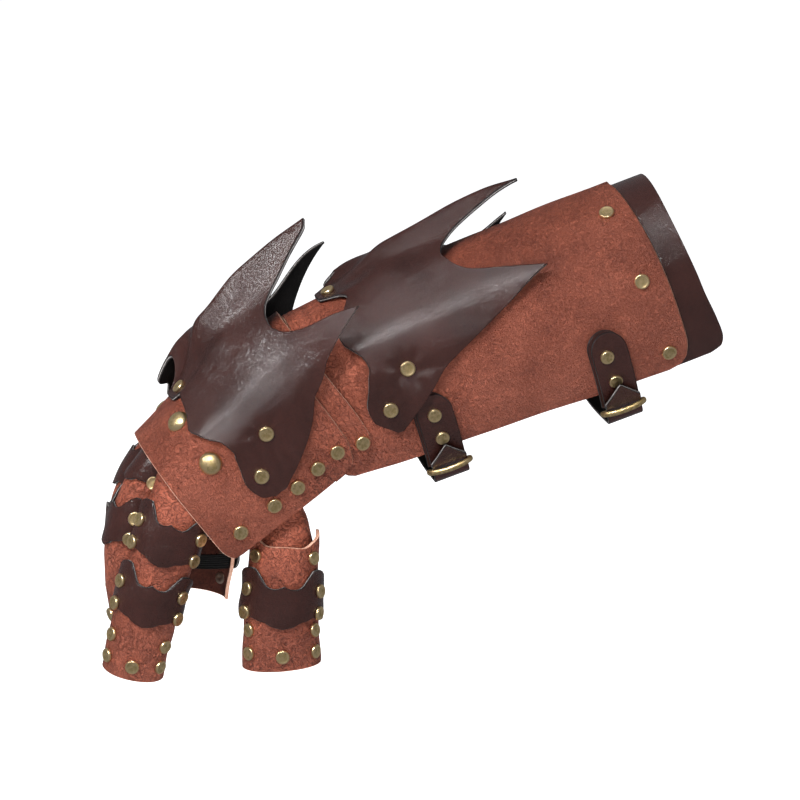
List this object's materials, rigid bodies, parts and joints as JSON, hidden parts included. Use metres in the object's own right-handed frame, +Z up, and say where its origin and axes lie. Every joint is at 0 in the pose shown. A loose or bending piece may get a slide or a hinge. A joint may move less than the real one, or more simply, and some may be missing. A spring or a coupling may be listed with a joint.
{
  "type": "armoured gauntlet",
  "caption": "Right-hand riveted leather gauntlet with layered tan guards, jointed finger shells and dark folded plates with spikes on forearm and hand, open underneath for the arm.",
  "frame": {"origin": "in the hollow of the forearm, where the underside of the wearer's arm lies, 48 mm behind the wrist end of the forearm guard", "axes": "+X towards the elbow, -X towards the fingers, -Y the thumb side, +Z up; the forearm rises 18.5 degrees towards the elbow"},
  "size_m": [0.3223, 0.1114, 0.2497],
  "materials": {
    "tan_leather": "grained red-brown leather with rubbed edges",
    "dark_leather": "glossy dark brown leather",
    "antique_brass": "antique brass, darkened in its hollows",
    "black_elastic": "woven black elastic"
  },
  "bodies": {
    "root": {"elbow_cuff": "dark_leather", "forearm_guard": "tan_leather", "wrist_guard": "tan_leather", "hand_guard": "tan_leather", "forearm_crest": "dark_leather", "hand_crest": "dark_leather", "strap_tab_wrist": "dark_leather", "buckle_wrist": "antique_brass", "strap_wrist": "dark_leather", "strap_tab_elbow": "dark_leather", "buckle_elbow": "antique_brass", "strap_elbow": "dark_leather", "palm_strap": "dark_leather", "index_base": "tan_leather", "index_plate": "tan_leather", "index_tip": "tan_leather", "index_knuckle_band": "dark_leather", "index_end_band": "dark_leather", "index_elastic": "black_elastic", "middle_base": "tan_leather", "middle_plate": "tan_leather", "middle_tip": "tan_leather", "middle_knuckle_band": "dark_leather", "middle_end_band": "dark_leather", "middle_elastic": "black_elastic", "ring_base": "tan_leather", "ring_plate": "tan_leather", "ring_tip": "tan_leather", "ring_knuckle_band": "dark_leather", "ring_end_band": "dark_leather", "ring_elastic": "black_elastic", "little_base": "tan_leather", "little_plate": "tan_leather", "little_tip": "tan_leather", "little_knuckle_band": "dark_leather", "little_end_band": "dark_leather", "little_elastic": "black_elastic", "thumb_sleeve": "tan_leather", "thumb_plate": "tan_leather", "thumb_tip": "tan_leather", "thumb_band": "dark_leather", "thumb_elastic": "black_elastic", "knuckle_dome_index": "antique_brass", "knuckle_dome_middle": "antique_brass", "knuckle_dome_ring": "antique_brass", "knuckle_dome_little": "antique_brass", "forearm_crest_rivet_thumb_1": "antique_brass", "forearm_crest_rivet_thumb_2": "antique_brass", "hand_crest_rivet_thumb_1": "antique_brass", "hand_crest_rivet_thumb_2": "antique_brass", "forearm_crest_rivet_outer_1": "antique_brass", "forearm_crest_rivet_outer_2": "antique_brass", "hand_crest_rivet_outer_1": "antique_brass", "hand_crest_rivet_outer_2": "antique_brass"}
  },
  "joints": []
}
